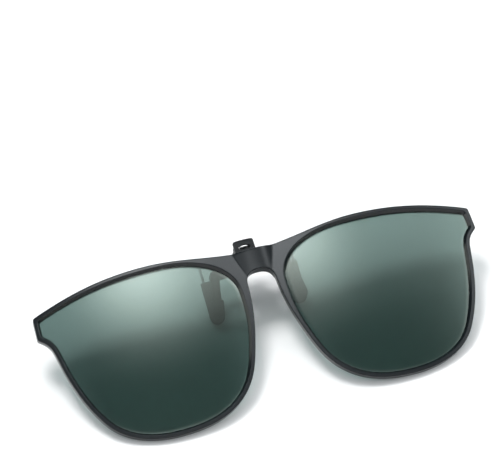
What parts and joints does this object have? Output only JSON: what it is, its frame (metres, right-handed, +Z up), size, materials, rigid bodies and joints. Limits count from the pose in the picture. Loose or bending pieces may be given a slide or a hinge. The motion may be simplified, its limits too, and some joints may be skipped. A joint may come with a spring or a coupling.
{
  "type": "clip-on flip lenses",
  "caption": "Clip-on tinted lenses in a moulded front that flips up on a hinge behind its bridge, held on spectacles by a small sprung clip with rubber pads.",
  "frame": {"origin": "middle of the part's footprint on the table, at table height", "axes": "+X to the side along the front, +Y from the lower rims towards the brow line, +Z up from the table"},
  "size_m": [0.148, 0.0592, 0.0241],
  "materials": {
    "frame_plastic": "satin moulded, charcoal",
    "lens_tint": "polished, dark green tint, see-through",
    "bracket_metal": "black satin lacquer",
    "steel": "bright wire and turned steel",
    "washer_nylon": "natural nylon",
    "clip_plastic": "satin moulded, black",
    "pad_rubber": "soft, matt, dark grey"
  },
  "bodies": {
    "rear_jaw": {"thumb_lever": "clip_plastic", "jaw_pin": "steel", "rear_wire_left": "steel", "rear_wire_right": "steel", "rear_sleeve_left": "pad_rubber", "rear_sleeve_right": "pad_rubber", "torsion_spring": "steel"},
    "clip_base": {"clip_body": "clip_plastic", "front_pad_left": "pad_rubber", "front_pad_right": "pad_rubber"},
    "front": {"front_frame": "frame_plastic", "lens_left": "lens_tint", "lens_right": "lens_tint", "hinge_bracket": "bracket_metal", "bracket_screw_left": "steel", "bracket_screw_right": "steel", "flip_screw": "steel", "flip_nut": "steel", "washer_left": "washer_nylon", "washer_right": "washer_nylon"}
  },
  "joints": [
    {"name": "jaw", "type": "hinge", "parent": "rear_jaw", "child": "clip_base", "pos_m": [0, 0.02748, 0.01357], "axis": [-1, 0, 0], "range_deg": [0, 18], "stiffness_Nm_per_rad": 0.1, "springref_deg": -22.92, "deforming": ["torsion_spring"]},
    {"name": "flip", "type": "hinge", "parent": "clip_base", "child": "front", "pos_m": [0, 0.02045, 0.01638], "axis": [-1, 0, 0], "range_deg": [0, 90]}
  ]
}
